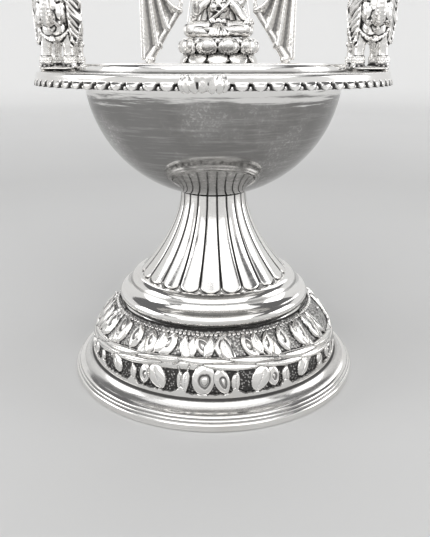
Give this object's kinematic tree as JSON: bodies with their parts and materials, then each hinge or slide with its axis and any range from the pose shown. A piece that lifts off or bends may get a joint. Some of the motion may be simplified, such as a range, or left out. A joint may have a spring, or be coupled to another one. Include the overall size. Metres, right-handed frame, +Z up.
{
  "type": "diya oil lamp",
  "caption": "Silver-finished ritual oil lamp: an open bowl with a lobed rim on a fluted pedestal, with elephants, side wings and a seated goddess on the rim.",
  "frame": {"origin": "centre of the foot ring, on the surface that the lamp stands on", "axes": "+Z up along the axis of the bowl and pedestal, -Y to the front, where the wick spout is, +X to the right as seen from the front"},
  "size_m": [0.088, 0.0983, 0.1121],
  "materials": {
    "polished_silver": "polished silver plate on brass",
    "oxidised_silver": "polished silver plate with darkened recesses in the relief",
    "cast_silver": "cast, silver plated, darkened in the hollows",
    "fastener_metal": "turned, plated, dull"
  },
  "bodies": {
    "root": {"pedestal_base": "oxidised_silver", "ogee_collar": "polished_silver", "fluted_stem": "polished_silver", "bowl": "polished_silver", "rim_plate": "polished_silver", "bowl_stud": "fastener_metal", "base_washer": "fastener_metal", "base_nut": "fastener_metal", "elephant_left": "cast_silver", "wing_left": "cast_silver", "elephant_nut_left": "fastener_metal", "wing_nut_left": "fastener_metal", "elephant_right": "cast_silver", "wing_right": "cast_silver", "elephant_nut_right": "fastener_metal", "wing_nut_right": "fastener_metal", "lotus_seat": "cast_silver", "goddess_figure": "cast_silver", "figure_screw": "fastener_metal", "figure_washer": "fastener_metal"}
  },
  "joints": []
}
